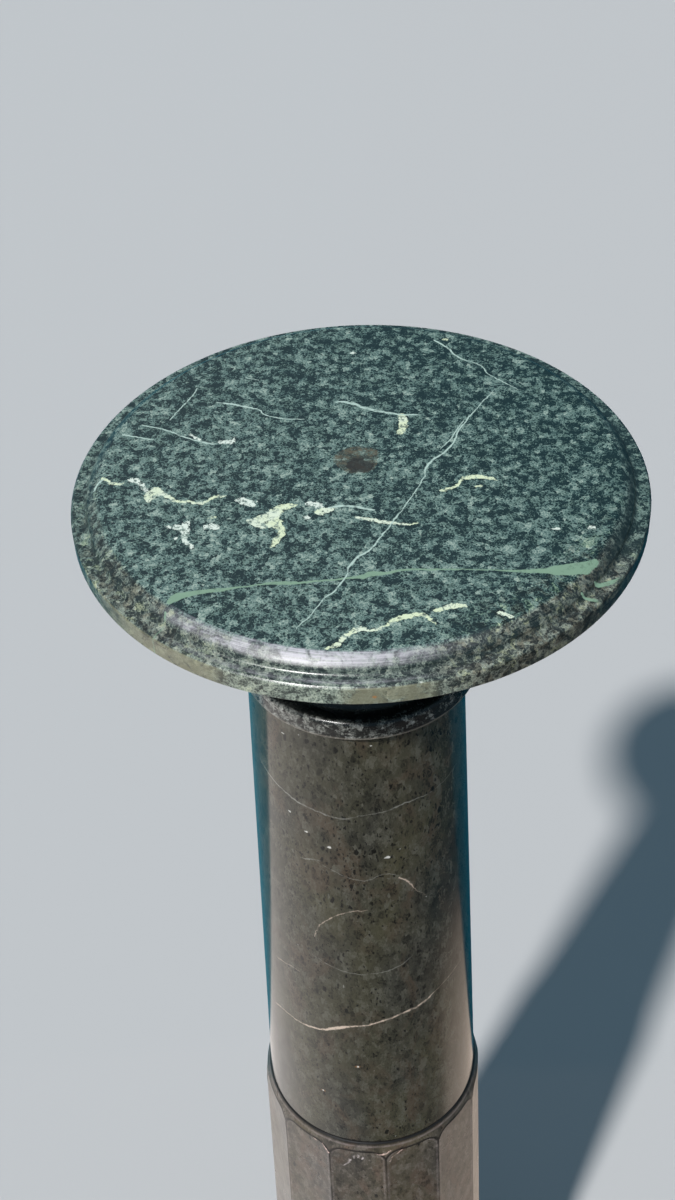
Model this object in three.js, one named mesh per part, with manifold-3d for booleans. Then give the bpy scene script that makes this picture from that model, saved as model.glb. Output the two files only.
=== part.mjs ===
// Turned and faceted serpentine marble column, in six stacked pieces.
// Millimetres, +Z up, origin on the floor at the middle of the plinth.
import * as THREE from 'three';
import { mergeVertices } from 'three/addons/utils/BufferGeometryUtils.js';
import Module from 'manifold-3d';

const wasm = await Module();
wasm.setup();

// Steps around a turned piece, and along one curved moulding
const roundSteps = 64;
const curveSteps = 5;

// Dry joint left between one piece and the next
const joint = 0.3;

// Plinth: an octagonal block with a sloped top edge
const plinthAcross = 312;
const plinthHeight = 70;
const plinthSides = 8;
const plinthSlopeWidth = 9;
const plinthSlopeHeight = 6;

// Base moulding: lower roll, hollow, upper roll and the seat of the drum
const lowerRollRadius = 124;
const lowerRollHeight = 36;
const baseFilletHeight = 5;
const baseFilletInset = 15;
const hollowHeight = 38;
const hollowDepth = 14;
const upperFilletInset = 24;
const upperRollRadius = 107;
const upperRollHeight = 24;
const seatRadius = 95;
const seatHeight = 8;

// Lower drum: facets cut up into a round flaring shoulder
const drumHeight = 421;
const drumSides = 12;
const drumTurn = THREE.MathUtils.degToRad(6);
const drumTopCorner = 78.6;
const drumTaper = 0.024;
const shoulderSlope = 0.225;
const shoulderStep = 0.6;
const shoulderReach = 1.6;

// Upper shaft: a plain taper with a small chamfer at its foot
const shaftHeight = 409;
const shaftTopRadius = 62.2;
const shaftTaper = 0.0305;
const shaftChamfer = 1.2;

// Capital: a flat collar, a narrow neck and a bell under the slab
const capitalShift = 3;
const collarRadius = 68.5;
const collarHeight = 13;
const collarRounding = 3.5;
const collarArris = 0.8;
const neckRadius = 57;
const neckRise = 6;
const bellRadius = 97;
const bellHeight = 84.5;
const bellFilletHeight = 8;

// Top slab: a raised disc, an ovolo, a cove and a flat lip over a plain edge
const slabShift = 6;
const slabRadius = 150;
const edgeHeight = 11.5;
const edgeChamfer = 1.2;
const lipWidth = 4.6;
const coveSize = 2.8;
const ovoloWidth = 6.9;
const discRise = 8;
const ovoloBulge = 0.32;

const stoneDark = { color: 0x2c4a47, roughness: 0.22, metalness: 0 };
const stoneGrey = { color: 0x4d4a42, roughness: 0.28, metalness: 0 };
const stoneBlack = { color: 0x2e322f, roughness: 0.25, metalness: 0 };

const point = (r, z) => new THREE.Vector2(r, z);

// Points of a part of an ellipse, angles in degrees from the outward direction, ends included
function curve(centreR, centreZ, halfWidth, halfHeight, from, to) {
  const points = [];
  for (let i = 0; i <= curveSteps; i += 1) {
    const a = THREE.MathUtils.degToRad(from + ((to - from) * i) / curveSteps);
    points.push(point(centreR + halfWidth * Math.cos(a), centreZ + halfHeight * Math.sin(a)));
  }
  return points;
}

// A turned solid: the outline runs from its lowest outer point to its highest
function turned(outline, sides = roundSteps) {
  const low = outline[0];
  const high = outline[outline.length - 1];
  const geometry = new THREE.LatheGeometry([point(0, low.y), ...outline, point(0, high.y)], sides);
  geometry.rotateX(Math.PI / 2);
  return geometry;
}

function asManifold(geometry) {
  const bare = geometry.clone();
  bare.deleteAttribute('normal');
  bare.deleteAttribute('uv');
  const merged = mergeVertices(bare, 1e-4);
  const index = merged.index.array;
  const kept = [];
  for (let i = 0; i < index.length; i += 3) {
    const [a, b, c] = [index[i], index[i + 1], index[i + 2]];
    if (a !== b && b !== c && c !== a) kept.push(a, b, c);
  }
  const vertProperties = new Float32Array(merged.attributes.position.array);
  return new wasm.Manifold(new wasm.Mesh({ numProp: 3, vertProperties, triVerts: new Uint32Array(kept) }));
}

function asGeometry(manifold) {
  const mesh = manifold.getMesh();
  const geometry = new THREE.BufferGeometry();
  geometry.setAttribute('position', new THREE.BufferAttribute(new Float32Array(mesh.vertProperties), 3));
  geometry.setIndex(new THREE.BufferAttribute(new Uint32Array(mesh.triVerts), 1));
  geometry.computeVertexNormals();
  return geometry;
}

// Plinth, turned with eight sides so that its flats face the row's axes
function plinth() {
  const corner = 1 / Math.cos(Math.PI / plinthSides);
  const outer = (plinthAcross / 2) * corner;
  const top = outer - plinthSlopeWidth * corner;
  const outline = [point(outer, 0), point(outer, plinthHeight - plinthSlopeHeight), point(top, plinthHeight)];
  return turned(outline, plinthSides).rotateZ(Math.PI / plinthSides);
}

const baseHeight =
  lowerRollHeight + 2 * baseFilletHeight + hollowHeight + upperRollHeight + seatHeight;

// Base moulding, a lower roll, a hollow between two fillets, and an upper roll
function baseMoulding() {
  const lowerRound = lowerRollHeight / 2;
  const upperRound = upperRollHeight / 2;
  const lowerFillet = lowerRollRadius - baseFilletInset;
  const upperFillet = lowerRollRadius - upperFilletInset;
  const hollowLow = lowerRollHeight + baseFilletHeight;
  const hollowTop = hollowLow + hollowHeight;
  const rollLow = hollowTop + baseFilletHeight;
  const rollTop = rollLow + upperRollHeight;
  const narrow = upperFillet - hollowDepth / 2;
  const waist = hollowTop - hollowHeight / 3;
  return turned([
    ...curve(lowerRollRadius - lowerRound, lowerRound, lowerRound, lowerRound, -80, 80),
    point(lowerFillet, lowerRollHeight),
    point(lowerFillet, hollowLow),
    ...curve(lowerFillet, waist, lowerFillet - narrow, waist - hollowLow, 260, 180),
    ...curve(upperFillet, waist, upperFillet - narrow, hollowTop - waist, 170, 100),
    point(upperFillet, hollowTop),
    point(upperFillet, rollLow),
    ...curve(upperRollRadius - upperRound, rollLow + upperRound, upperRound, upperRound, -70, 80),
    point(seatRadius, rollTop),
    point(seatRadius, baseHeight),
  ]);
}

// Lower drum: a turned blank with a flaring shoulder, cut to twelve tapering flats
function lowerDrum() {
  const shaftFoot = shaftTopRadius + shaftTaper * shaftHeight;
  const cornerFoot = drumTopCorner + drumTaper * drumHeight;
  const shoulderTop = shaftFoot + shoulderStep;
  const shoulderFoot = drumTopCorner + shoulderReach;
  const shoulderHeight = (shoulderFoot - shoulderTop) / shoulderSlope;
  const blank = turned([
    point(cornerFoot + shoulderReach, 0),
    point(shoulderFoot, drumHeight - shoulderHeight),
    point(shoulderTop, drumHeight),
  ]);
  const flats = new THREE.CylinderGeometry(drumTopCorner, cornerFoot, drumHeight, drumSides);
  flats.rotateX(Math.PI / 2);
  flats.translate(0, 0, drumHeight / 2);
  blank.rotateZ(drumTurn);
  flats.rotateZ(drumTurn);
  return asGeometry(asManifold(blank).intersect(asManifold(flats)));
}

function upperShaft() {
  const foot = shaftTopRadius + shaftTaper * shaftHeight;
  return turned([
    point(foot - shaftChamfer, 0),
    point(foot - shaftTaper * shaftChamfer, shaftChamfer),
    point(shaftTopRadius, shaftHeight),
  ]);
}

const capitalHeight = collarHeight + neckRise + bellHeight + bellFilletHeight;

// Capital: collar with a rounded upper edge, neck, and a bell hollowed like a trumpet
function capital() {
  const neckTop = collarHeight + neckRise;
  const bellTop = neckTop + bellHeight;
  const flare = bellRadius - neckRadius;
  const rounded = collarRadius - collarRounding;
  return turned([
    point(collarRadius - collarArris, 0),
    point(collarRadius, collarArris),
    ...curve(rounded, collarHeight - collarRounding, collarRounding, collarRounding, 0, 90),
    ...curve(neckRadius + neckRise, neckTop, neckRise, neckRise, 255, 180),
    ...curve(bellRadius, neckTop, flare, bellHeight, 170, 100),
    point(bellRadius, bellTop),
    point(bellRadius, capitalHeight),
  ]);
}

// Top slab: plain edge, flat lip, cove and ovolo up to the raised disc
function topSlab() {
  const lipInner = slabRadius - edgeChamfer - lipWidth;
  const coveTop = edgeHeight + coveSize;
  const top = edgeHeight + discRise;
  const ovoloFoot = lipInner - coveSize;
  const discRadius = ovoloFoot - ovoloWidth;
  const ovolo = [];
  for (let i = 1; i <= curveSteps; i += 1) {
    const t = i / curveSteps;
    const swell = ovoloBulge * 4 * t * (1 - t);
    const r = ovoloFoot - ovoloWidth * (t - swell / 2);
    const z = coveTop + (top - coveTop) * (t + swell / 2);
    ovolo.push(point(r, z));
  }
  const outline = [
    point(slabRadius - edgeChamfer, 0),
    point(slabRadius, edgeChamfer),
    point(slabRadius, edgeHeight - edgeChamfer),
    point(slabRadius - edgeChamfer, edgeHeight),
    ...curve(lipInner, coveTop, coveSize, coveSize, 270, 180),
    ...ovolo,
  ];
  outline[outline.length - 1] = point(discRadius, top);
  return turned(outline);
}

function stone(name, geometry, look) {
  const mesh = new THREE.Mesh(geometry, new THREE.MeshStandardMaterial(look));
  mesh.name = name;
  return mesh;
}

// The stack, from the floor up, each piece on the one below with a joint between
const group = new THREE.Group();
const stack = [
  ['plinth', plinth(), stoneDark, plinthHeight, 0],
  ['base_moulding', baseMoulding(), stoneBlack, baseHeight, 0],
  ['lower_drum', lowerDrum(), stoneGrey, drumHeight, 0],
  ['upper_shaft', upperShaft(), stoneGrey, shaftHeight, 0],
  ['capital', capital(), stoneBlack, capitalHeight, capitalShift],
  ['top_slab', topSlab(), stoneDark, edgeHeight + discRise, slabShift],
];
let level = 0;
for (const [name, geometry, look, height, shift] of stack) {
  const piece = stone(name, geometry, look);
  piece.position.set(shift, 0, level);
  group.add(piece);
  level += height + joint;
}

export default group;
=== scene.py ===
# Serpentine marble column: finer stone pieces and polished stone finishes over the solids
import math
import bpy
from mathutils import Matrix, Vector


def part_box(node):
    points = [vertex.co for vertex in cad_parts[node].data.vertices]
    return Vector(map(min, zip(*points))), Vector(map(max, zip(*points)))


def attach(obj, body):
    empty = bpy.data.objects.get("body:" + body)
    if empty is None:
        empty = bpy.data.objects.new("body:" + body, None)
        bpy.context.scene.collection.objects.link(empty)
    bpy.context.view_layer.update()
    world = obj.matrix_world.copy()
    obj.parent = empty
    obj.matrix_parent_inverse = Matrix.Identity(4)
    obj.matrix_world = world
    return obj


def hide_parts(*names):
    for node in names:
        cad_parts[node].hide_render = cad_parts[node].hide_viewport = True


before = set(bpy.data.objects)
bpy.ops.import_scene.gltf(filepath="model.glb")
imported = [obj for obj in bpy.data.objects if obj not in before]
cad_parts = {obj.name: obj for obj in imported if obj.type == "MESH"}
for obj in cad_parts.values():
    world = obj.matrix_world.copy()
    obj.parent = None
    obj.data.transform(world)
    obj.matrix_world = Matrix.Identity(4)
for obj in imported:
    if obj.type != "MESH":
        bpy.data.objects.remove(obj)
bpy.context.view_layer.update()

mm = 0.001
smoothAngle = math.radians(32)
print("frame loaded")


# modelling helpers

def setMode(mode):
    bpy.ops.object.mode_set(mode=mode)


def clearSelection():
    if bpy.context.object and bpy.context.object.mode != 'OBJECT':
        setMode('OBJECT')
    bpy.ops.object.select_all(action='DESELECT')


def activate(piece):
    clearSelection()
    piece.select_set(True)
    bpy.context.view_layer.objects.active = piece


def nameActive(name):
    piece = bpy.context.object
    piece.name = name
    piece.data.name = name
    return piece


def applyPlace(piece):
    activate(piece)
    bpy.ops.object.transform_apply(location=True, rotation=True, scale=True)


def applyModifier(piece, kind, **settings):
    activate(piece)
    modifier = piece.modifiers.new(kind.title(), kind)
    for key, value in settings.items():
        setattr(modifier, key, value)
    bpy.ops.object.modifier_apply(modifier=modifier.name)


def softenEdges(piece, width, segments=3, angle=24):
    applyModifier(piece, 'BEVEL', width=width * mm, segments=segments, limit_method='ANGLE',
                  angle_limit=math.radians(angle), use_clamp_overlap=True)
    activate(piece)
    bpy.ops.object.shade_smooth_by_angle(angle=smoothAngle)
    applyModifier(piece, 'WEIGHTED_NORMAL', keep_sharp=True, weight=80)


# Points of a part of an ellipse in an outline, angles in degrees from the outward direction
def curvePoints(centreR, centreZ, halfWidth, halfHeight, start, end, steps=12):
    points = []
    for step in range(steps + 1):
        angle = math.radians(start + (end - start) * step / steps)
        points.append((centreR + halfWidth * math.cos(angle), centreZ + halfHeight * math.sin(angle)))
    return points


# A turned piece: a point is drawn out along the outline and spun round the axis
def turnPiece(name, outline, axisX, foot, steps):
    full = [(0, outline[0][1])] + list(outline) + [(0, outline[-1][1])]
    clearSelection()
    bpy.ops.mesh.primitive_plane_add(size=mm, location=(0, 0, 0))
    piece = nameActive(name)
    setMode('EDIT')
    bpy.ops.mesh.merge(type='CENTER')
    bpy.ops.transform.translate(value=(0, 0, full[0][1] * mm))
    for before, after in zip(full, full[1:]):
        step = ((after[0] - before[0]) * mm, 0, (after[1] - before[1]) * mm)
        bpy.ops.mesh.extrude_region_move(TRANSFORM_OT_translate={"value": step})
    bpy.ops.mesh.select_all(action='SELECT')
    bpy.ops.mesh.spin(steps=steps, angle=math.tau, center=(0, 0, 0), axis=(0, 0, 1))
    bpy.ops.mesh.select_all(action='SELECT')
    bpy.ops.mesh.remove_doubles(threshold=0.01 * mm)
    bpy.ops.mesh.normals_make_consistent(inside=False)
    setMode('OBJECT')
    piece.location = (axisX * mm, 0, foot)
    applyPlace(piece)
    return piece


def selectVertices(piece, chosen):
    if bpy.context.object.mode != 'EDIT':
        setMode('EDIT')
    bpy.ops.mesh.select_all(action='DESELECT')
    setMode('OBJECT')
    for vertex in piece.data.vertices:
        vertex.select = chosen(vertex.co)
    setMode('EDIT')


def cutAway(piece, cutter):
    applyModifier(piece, 'BOOLEAN', operation='DIFFERENCE', object=cutter, solver='EXACT')
    mesh = cutter.data
    bpy.data.objects.remove(cutter)
    bpy.data.meshes.remove(mesh)


# A rough lump, taken out of a piece where it is chipped
def cutChip(piece, place, size, seed):
    clearSelection()
    bpy.ops.mesh.primitive_ico_sphere_add(subdivisions=2, radius=mm, location=[p * mm for p in place])
    lump = nameActive("chipCutter")
    lump.scale = size
    setMode('EDIT')
    bpy.ops.transform.vertex_random(offset=0.22 * mm, uniform=0.6, normal=0.4, seed=seed)
    setMode('OBJECT')
    applyPlace(lump)
    cutAway(piece, lump)


def finishPiece(piece, node):
    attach(piece, "root")
    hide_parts(node)
    print("made", piece.name, len(piece.data.polygons), "faces")


# plinth: an octagonal block with a sloped top edge

plinthSizes = {
    "across": 312,
    "sides": 8,
    "height": 70,
    "slopeWidth": 9,
    "slopeHeight": 6,
    "arris": 0.9,
}


def makePlinth(sizes):
    half = math.pi / sizes["sides"]
    radius = sizes["across"] / 2 / math.cos(half)
    straight = sizes["height"] - sizes["slopeHeight"]
    clearSelection()
    bpy.ops.mesh.primitive_cylinder_add(vertices=sizes["sides"], radius=radius * mm, depth=straight * mm,
                                        location=(0, 0, straight / 2 * mm), rotation=(0, 0, half))
    piece = nameActive("plinthBlock")
    applyPlace(piece)
    setMode('EDIT')
    bpy.ops.mesh.select_all(action='DESELECT')
    setMode('OBJECT')
    for face in piece.data.polygons:
        face.select = face.normal.z > 0.9
    setMode('EDIT')
    bpy.ops.mesh.extrude_region_move(TRANSFORM_OT_translate={"value": (0, 0, sizes["slopeHeight"] * mm)})
    shrink = 1 - 2 * sizes["slopeWidth"] / sizes["across"]
    bpy.ops.transform.resize(value=(shrink, shrink, 1), center_override=(0, 0, 0))
    setMode('OBJECT')
    softenEdges(piece, sizes["arris"])
    finishPiece(piece, "plinth")
    return piece


# base moulding: a lower roll, a hollow between two fillets, an upper roll and a seat

baseSizes = {
    "lowerRoll": (124, 36),
    "fillet": 5,
    "filletInset": 15,
    "hollow": 38,
    "hollowDepth": 14,
    "upperFilletInset": 24,
    "upperRoll": (107, 24),
    "seat": (95, 8),
    "arris": 0.5,
    "steps": 224,
}


def makeBase(sizes):
    rollRadius, rollHeight = sizes["lowerRoll"]
    upperRadius, upperHeight = sizes["upperRoll"]
    seatRadius, seatHeight = sizes["seat"]
    lowerRound, upperRound = rollHeight / 2, upperHeight / 2
    lowerFillet = rollRadius - sizes["filletInset"]
    upperFillet = rollRadius - sizes["upperFilletInset"]
    hollowLow = rollHeight + sizes["fillet"]
    hollowTop = hollowLow + sizes["hollow"]
    rollLow = hollowTop + sizes["fillet"]
    rollTop = rollLow + upperHeight
    narrow = upperFillet - sizes["hollowDepth"] / 2
    waist = hollowTop - sizes["hollow"] / 3
    outline = curvePoints(rollRadius - lowerRound, lowerRound, lowerRound, lowerRound, -84, 84, 18)
    outline += [(lowerFillet, rollHeight), (lowerFillet, hollowLow)]
    outline += curvePoints(lowerFillet, waist, lowerFillet - narrow, waist - hollowLow, 262, 180)
    outline += curvePoints(upperFillet, waist, upperFillet - narrow, hollowTop - waist, 174, 98, 8)
    outline += [(upperFillet, hollowTop), (upperFillet, rollLow)]
    outline += curvePoints(upperRadius - upperRound, rollLow + upperRound, upperRound, upperRound,
                           -74, 84, 14)
    outline += [(seatRadius, rollTop), (seatRadius, rollTop + seatHeight)]
    piece = turnPiece("baseMoulding", outline, 0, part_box("base_moulding")[0][2], sizes["steps"])
    softenEdges(piece, sizes["arris"])
    finishPiece(piece, "base_moulding")
    return piece


# lower drum: twelve tapering flats, each cut up into the round shoulder in an arch

drumSizes = {
    "height": 421,
    "sides": 12,
    "turn": 6,              # degrees from the front to the first arris
    "topCorner": 78.6,
    "taper": 0.024,
    # past the corner, and below the top
    "shoulder": [(0.9, 30), (0.6, 19), (0.2, 13), (-0.7, 8.3), (-2.2, 3.2)],
    "shoulderTop": 75.1,
    "chamfer": 0.8,
    "crown": 8.3,           # arch crown below the joint
    "archRound": 11.5,
    "archFlat": 9.0,        # half the level part of the crown
    "spread": 1.25,         # widening of the cutter towards the foot
    "cutterDepth": 24,
    "arris": 0.45,
    "steps": 192,
}


def makeDrum(sizes):
    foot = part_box("lower_drum")[0][2]
    height = sizes["height"]
    half = math.pi / sizes["sides"]
    corner, chamfer = sizes["topCorner"], sizes["chamfer"]
    outline = [(corner + sizes["taper"] * height + 1, 0)]
    outline += [(corner + past, height - below) for past, below in sizes["shoulder"]]
    outline += [(sizes["shoulderTop"], height - chamfer), (sizes["shoulderTop"] - chamfer, height)]
    piece = turnPiece("facetedDrum", outline, 0, foot, sizes["steps"])
    lean = math.atan(sizes["taper"] * math.cos(half))
    radius, flat = sizes["archRound"], sizes["archFlat"]
    centreZ = height - sizes["crown"] - radius
    apothem = (corner + sizes["taper"] * (height - centreZ)) * math.cos(half)
    deep = sizes["cutterDepth"]
    for side in range(sizes["sides"]):
        clearSelection()
        bpy.ops.mesh.primitive_cylinder_add(vertices=64, radius=radius * mm, depth=deep * mm,
                                            location=(0, 0, 0), rotation=(math.pi / 2, 0, 0))
        cutter = nameActive("facetCutter")
        applyPlace(cutter)
        setMode('EDIT')
        bpy.ops.mesh.select_mode(type='VERT')
        setMode('OBJECT')
        for way in (-1, 1):
            selectVertices(cutter, lambda spot: spot.x * way > 0.0001)
            bpy.ops.transform.translate(value=(way * flat * mm, 0, 0))
        selectVertices(cutter, lambda spot: spot.z < 0.0001)
        bpy.ops.transform.translate(value=(0, 0, -(height + 10) * mm))
        bpy.ops.transform.resize(value=(sizes["spread"], 1, 1), center_override=(0, 0, 0))
        setMode('OBJECT')
        heading = math.radians(sizes["turn"]) + half * (2 * side + 1)
        out = Matrix.Translation((0, -apothem * mm, foot + centreZ * mm))
        inset = Matrix.Translation((0, -deep / 2 * mm, 0))
        cutter.matrix_world = (Matrix.Rotation(heading, 4, 'Z') @ out
                               @ Matrix.Rotation(-lean, 4, 'X') @ inset)
        applyPlace(cutter)
        cutAway(piece, cutter)
    softenEdges(piece, sizes["arris"], 2, 14)
    finishPiece(piece, "lower_drum")
    return piece


# upper shaft: a plain taper with a chamfered foot

shaftSizes = {
    "height": 409,
    "topRadius": 62.2,
    "taper": 0.0305,
    "chamfer": 1.3,
    "arris": 0.3,
    "steps": 256,
}


def makeShaft(sizes):
    height, chamfer = sizes["height"], sizes["chamfer"]
    foot = sizes["topRadius"] + sizes["taper"] * height
    outline = [(foot - chamfer, 0)]
    for level in (chamfer, height * 0.25, height * 0.5, height * 0.75, height):
        outline.append((sizes["topRadius"] + sizes["taper"] * (height - level), level))
    piece = turnPiece("taperShaft", outline, 0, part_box("upper_shaft")[0][2], sizes["steps"])
    softenEdges(piece, sizes["arris"], 2)
    finishPiece(piece, "upper_shaft")
    return piece


# capital: a collar with a rounded upper edge, a neck and a trumpet bell

capitalSizes = {
    "shift": 3,
    "collar": (68.5, 13),
    "rounding": 3.5,
    "collarArris": 0.8,
    "neckRadius": 57,
    "neckRise": 6,
    "bell": (97, 84.5),
    "bellFillet": 8,
    "arris": 0.35,
    "steps": 256,
}


def makeCapital(sizes):
    collarRadius, collarHeight = sizes["collar"]
    bellRadius, bellHeight = sizes["bell"]
    rounding, neck, rise = sizes["rounding"], sizes["neckRadius"], sizes["neckRise"]
    neckTop = collarHeight + rise
    bellTop = neckTop + bellHeight
    outline = [(collarRadius - sizes["collarArris"], 0), (collarRadius, sizes["collarArris"])]
    outline += curvePoints(collarRadius - rounding, collarHeight - rounding, rounding, rounding, 0, 88, 8)
    outline += curvePoints(neck + rise, neckTop, rise, rise, 262, 180, 8)
    outline += curvePoints(bellRadius, neckTop, bellRadius - neck, bellHeight, 174, 96, 18)
    outline += [(bellRadius, bellTop), (bellRadius, bellTop + sizes["bellFillet"])]
    piece = turnPiece("bellCapital", outline, sizes["shift"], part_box("capital")[0][2], sizes["steps"])
    softenEdges(piece, sizes["arris"], 2)
    finishPiece(piece, "capital")
    return piece


# top slab: a plain edge, a flat lip, a cove and an ovolo up to the raised disc

slabSizes = {
    "shift": 6,
    "radius": 150,
    "edge": 11.5,
    "chamfer": 1.2,
    "lip": 4.6,
    "cove": 2.8,
    "ovolo": 6.9,
    "rise": 8,
    "ovoloSteps": 8,
    "bulge": 0.11,
    "arris": 0.35,
    "steps": 320,
    "chips": [((17.4, -149.9, 1136), (0.7, 0.7, 1.7), 3), ((32.8, -147.8, 1140.4), (2.0, 1.3, 0.9), 5),
              ((-96, -115.4, 1140.6), (1.6, 1.4, 1.0), 9), ((120, 96, 1140.6), (2.2, 1.6, 1.0), 12)],
}


def makeSlab(sizes):
    radius, edge, chamfer = sizes["radius"], sizes["edge"], sizes["chamfer"]
    lipInner = radius - chamfer - sizes["lip"]
    coveTop = edge + sizes["cove"]
    top = edge + sizes["rise"]
    ovoloFoot = lipInner - sizes["cove"]
    outline = [(radius - chamfer, 0), (radius, chamfer), (radius, edge - chamfer), (radius - chamfer, edge)]
    outline += curvePoints(lipInner, coveTop, sizes["cove"], sizes["cove"], 268, 182, 6)
    for step in range(1, sizes["ovoloSteps"] + 1):
        t = step / sizes["ovoloSteps"]
        swell = sizes["bulge"] * 2 * t * (1 - t)
        outline.append((ovoloFoot - sizes["ovolo"] * (t - swell), coveTop + (top - coveTop) * (t + swell)))
    piece = turnPiece("mouldedSlab", outline, sizes["shift"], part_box("top_slab")[0][2], sizes["steps"])
    softenEdges(piece, sizes["arris"], 2)
    for place, size, seed in sizes["chips"]:
        cutChip(piece, place, size, seed)
    activate(piece)
    bpy.ops.object.shade_smooth_by_angle(angle=smoothAngle)
    finishPiece(piece, "top_slab")
    return piece


# node helpers, all of which work in the tree that was opened last

workTree = None


def openTree(tree):
    global workTree
    workTree = tree


# Empties the nodes of a material or the world, and opens them
def emptyTree(holder):
    holder.use_nodes = True
    holder.node_tree.nodes.clear()
    openTree(holder.node_tree)


def isSocket(value):
    return isinstance(value, bpy.types.NodeSocket)


def link(source, target):
    workTree.links.new(source, target)


def addNode(kind, inputs=None, **settings):
    made = workTree.nodes.new(kind)
    for key, value in settings.items():
        setattr(made, key, value)
    for key, value in (inputs or {}).items():
        if isSocket(value):
            link(value, made.inputs[key])
        else:
            made.inputs[key].default_value = value
    count = len(workTree.nodes)
    made.location = (190 * (count % 14), -260 * (count // 14))
    return made


def calc(operation, *values, clamp=False):
    inputs = dict(enumerate(values))
    return addNode('ShaderNodeMath', inputs, operation=operation, use_clamp=clamp).outputs[0]


def times(a, b):
    return calc('MULTIPLY', a, b)


# Adds a share of a value's distance from the middle of its range
def swing(value, middle, share, base):
    return calc('MULTIPLY_ADD', calc('SUBTRACT', value, middle), share, base)


def vectorCalc(operation, inputs):
    return addNode('ShaderNodeVectorMath', inputs, operation=operation).outputs


def partsOf(vector):
    return addNode('ShaderNodeSeparateXYZ', {0: vector}).outputs


def joined(x, y, z=0.0):
    return addNode('ShaderNodeCombineXYZ', {0: x, 1: y, 2: z}).outputs[0]


def mapped(vector, **settings):
    return addNode('ShaderNodeMapping', {"Vector": vector, **settings}).outputs[0]


def remap(value, low, high, outLow=0.0, outHigh=1.0, kind='LINEAR'):
    inputs = {"Value": value, "From Min": low, "From Max": high, "To Min": outLow, "To Max": outHigh}
    return addNode('ShaderNodeMapRange', inputs, interpolation_type=kind).outputs["Result"]


def tint(amount, under, over, blend='MIX'):
    under, over = [value if isSocket(value) else (*value, 1) for value in (under, over)]
    inputs = {0: amount, 6: under, 7: over}
    return addNode('ShaderNodeMix', inputs, data_type='RGBA', blend_type=blend).outputs[2]


def noise(vector, scale, detail=3.0, roughness=0.55, distortion=0.0, output=0):
    inputs = {"Vector": vector, "Scale": scale, "Detail": detail, "Roughness": roughness,
              "Distortion": distortion}
    return addNode('ShaderNodeTexNoise', inputs).outputs[output]


def newGroup(name, given, wanted):
    group = bpy.data.node_groups.new(name, 'ShaderNodeTree')
    for way, keys in (('INPUT', given), ('OUTPUT', wanted)):
        for key in keys:
            kind = 'NodeSocketVector' if key == "Vector" else 'NodeSocketFloat'
            made = group.interface.new_socket(name=key, in_out=way, socket_type=kind)
            if way == 'INPUT' and key != "Vector":
                made.default_value = given[key]
    start = group.nodes.new('NodeGroupInput')
    end = group.nodes.new('NodeGroupOutput')
    end.location = (2800, 0)
    openTree(group)
    return group, start.outputs, end.inputs


def useGroup(group, inputs):
    return addNode('ShaderNodeGroup', inputs, node_tree=group).outputs


# Coordinates pushed about by noise, so that nothing drawn on them runs quite true
def makeUneven():
    group, given, out = newGroup("unevenPlace", {"Vector": None, "Size": 6.0, "Push": 0.8}, ["Vector"])
    scale = calc('DIVIDE', 1 / mm, given["Size"])
    field = noise(given["Vector"], scale, 2.0, output="Color")
    centred = vectorCalc('SUBTRACT', {0: field, 1: (0.5, 0.5, 0.5)})[0]
    moved = vectorCalc('SCALE', {0: centred, "Scale": times(given["Push"], 2 * mm)})[0]
    link(vectorCalc('ADD', {0: given["Vector"], 1: moved})[0], out["Vector"])
    return group


def shaken(vector, size, push):
    return useGroup(uneven, {"Vector": vector, "Size": size, "Push": push})["Vector"]


# Interlocking grains: each takes its tone from a broader field and from chance, and has a paler rim
def makePatches():
    group, given, out = newGroup("stonePatches", {
        "Vector": None, "Size": 2.4, "Cluster": 6.0, "Chance": 0.4, "Rims": 0.1}, ["Tone", "Cloud"])
    scale = calc('DIVIDE', 1 / mm, given["Size"])
    ragged = shaken(given["Vector"], times(given["Size"], 0.6), times(given["Size"], 0.5))
    net = {"Vector": ragged, "Scale": scale}
    cells = addNode('ShaderNodeTexVoronoi', net).outputs
    border = addNode('ShaderNodeTexVoronoi', net, feature='DISTANCE_TO_EDGE').outputs["Distance"]
    clusters = calc('DIVIDE', 1 / mm, given["Cluster"])
    field = noise(cells["Position"], clusters, 2.0, 0.5)
    cell = addNode('ShaderNodeSeparateColor', {0: cells["Color"]}).outputs[0]
    finer = noise(ragged, times(scale, 1.7), 3.0, 0.65)
    tone = 0.5
    for part, share in ((field, 1.35), (cell, given["Chance"]), (finer, 0.95)):
        tone = swing(part, 0.5, share, tone)
    tone = swing(remap(border, 0.20, 0.03), 0.3, given["Rims"], tone)
    link(tone, out["Tone"])
    link(noise(given["Vector"], times(clusters, 0.2), 3.0, 0.5), out["Cloud"])
    return group


# Scattered grains: a share of the cells of a net holds one grain each, of uneven size
def makeGrains():
    group, given, out = newGroup("stoneGrains", {
        "Vector": None, "Spacing": 4.0, "Share": 0.5, "Radius": 0.4, "Softness": 0.08}, ["Mask"])
    scale = calc('DIVIDE', 1 / mm, given["Spacing"])
    cells = addNode('ShaderNodeTexVoronoi', {"Vector": given["Vector"], "Scale": scale}).outputs
    chance = addNode('ShaderNodeSeparateColor', {0: cells["Color"]}).outputs
    chosen = calc('LESS_THAN', chance[0], given["Share"])
    size = times(given["Radius"], calc('MULTIPLY_ADD', chance[1], 0.8, 0.35))
    outline = noise(given["Vector"], times(scale, 2.4), 2.0)
    inside = calc('SUBTRACT', size, swing(outline, 0.5, 0.7, cells["Distance"]))
    mask = calc('DIVIDE', inside, given["Softness"], clamp=True)
    link(times(mask, chosen), out["Mask"])
    return group


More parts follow.
